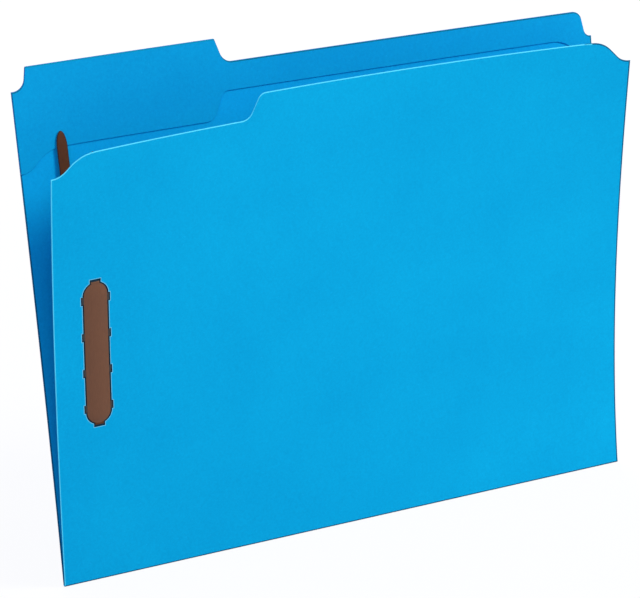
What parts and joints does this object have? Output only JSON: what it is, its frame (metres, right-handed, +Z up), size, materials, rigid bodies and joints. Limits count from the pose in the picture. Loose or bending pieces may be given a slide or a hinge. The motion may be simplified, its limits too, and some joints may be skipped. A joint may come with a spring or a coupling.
{
  "type": "fastener folder",
  "caption": "Tabbed card folder standing half open on its bottom fold, with a bendable prong fastener, compressor and sliding keepers in each leaf.",
  "frame": {"origin": "middle of the flat underside of the bottom fold", "axes": "+X along the fold towards the end away from the tab, +Y from the front leaf to the back leaf, +Z up"},
  "size_m": [0.2985, 0.0504, 0.2414],
  "materials": {
    "card_fold": "dyed blue card, creased",
    "card_front": "dyed blue card, matt",
    "card_back": "dyed blue card, matt",
    "card_ply": "dyed blue card, matt, glued down",
    "fastener_lacquer": "brown lacquered sheet steel",
    "prong_lacquer": "dark brown lacquered soft steel"
  },
  "bodies": {
    "fold": {"bottom_fold": "card_fold"},
    "front": {"front_leaf": "card_front", "front_base_plate": "fastener_lacquer", "front_compressor": "fastener_lacquer"},
    "front_upper_prong": {"front_upper_prong": "prong_lacquer"},
    "front_lower_prong": {"front_lower_prong": "prong_lacquer"},
    "front_upper_keeper": {"front_upper_keeper": "fastener_lacquer"},
    "front_lower_keeper": {"front_lower_keeper": "fastener_lacquer"},
    "back": {"back_leaf": "card_back", "tab_reinforcement": "card_ply", "back_base_plate": "fastener_lacquer", "back_compressor": "fastener_lacquer"},
    "back_upper_prong": {"back_upper_prong": "prong_lacquer"},
    "back_lower_prong": {"back_lower_prong": "prong_lacquer"},
    "back_upper_keeper": {"back_upper_keeper": "fastener_lacquer"},
    "back_lower_keeper": {"back_lower_keeper": "fastener_lacquer"}
  },
  "joints": [
    {"name": "front_crease", "type": "hinge", "parent": "fold", "child": "front", "pos_m": [0, -0.00077, 0.00045], "axis": [1, 0, 0], "range_deg": [-1.5, 80]},
    {"name": "back_crease", "type": "hinge", "parent": "fold", "child": "back", "pos_m": [0, 0.00077, 0.00045], "axis": [-1, 0, 0], "range_deg": [-1.5, 84]},
    {"name": "front_upper_bend", "type": "hinge", "parent": "front", "child": "front_upper_prong", "pos_m": [-0.12871, -0.01603, 0.14791], "axis": [-0.9955, -0.0935, -0.0118], "range_deg": [0, 36]},
    {"name": "front_lower_bend", "type": "hinge", "parent": "front", "child": "front_lower_prong", "pos_m": [-0.12856, -0.00586, 0.07867], "axis": [0.9989, 0.0461, 0.0048], "range_deg": [0, 1]},
    {"name": "back_upper_bend", "type": "hinge", "parent": "back", "child": "back_upper_prong", "pos_m": [-0.12827, 0.00449, 0.1486], "axis": [0.9986, 0.0532, -0.0021], "range_deg": [0, 36]},
    {"name": "back_lower_bend", "type": "hinge", "parent": "back", "child": "back_lower_prong", "pos_m": [-0.12831, 0.00056, 0.07881], "axis": [-0.9993, -0.0383, 0.0013], "range_deg": [0, 1]},
    {"name": "front_upper_keeper_slide", "type": "slide", "parent": "front", "child": "front_upper_keeper", "axis": [0.0031, -0.1559, 0.9878], "range_m": [-0.012, 0.012]},
    {"name": "front_lower_keeper_slide", "type": "slide", "parent": "front", "child": "front_lower_keeper", "axis": [-0.0015, 0.1336, -0.991], "range_m": [-0.012, 0.012]},
    {"name": "back_upper_keeper_slide", "type": "slide", "parent": "back", "child": "back_upper_keeper", "axis": [-0.0011, 0.0604, 0.9982], "range_m": [-0.012, 0.012]},
    {"name": "back_lower_keeper_slide", "type": "slide", "parent": "back", "child": "back_lower_keeper", "axis": [0.0007, -0.0521, -0.9986], "range_m": [-0.012, 0.012]}
  ]
}
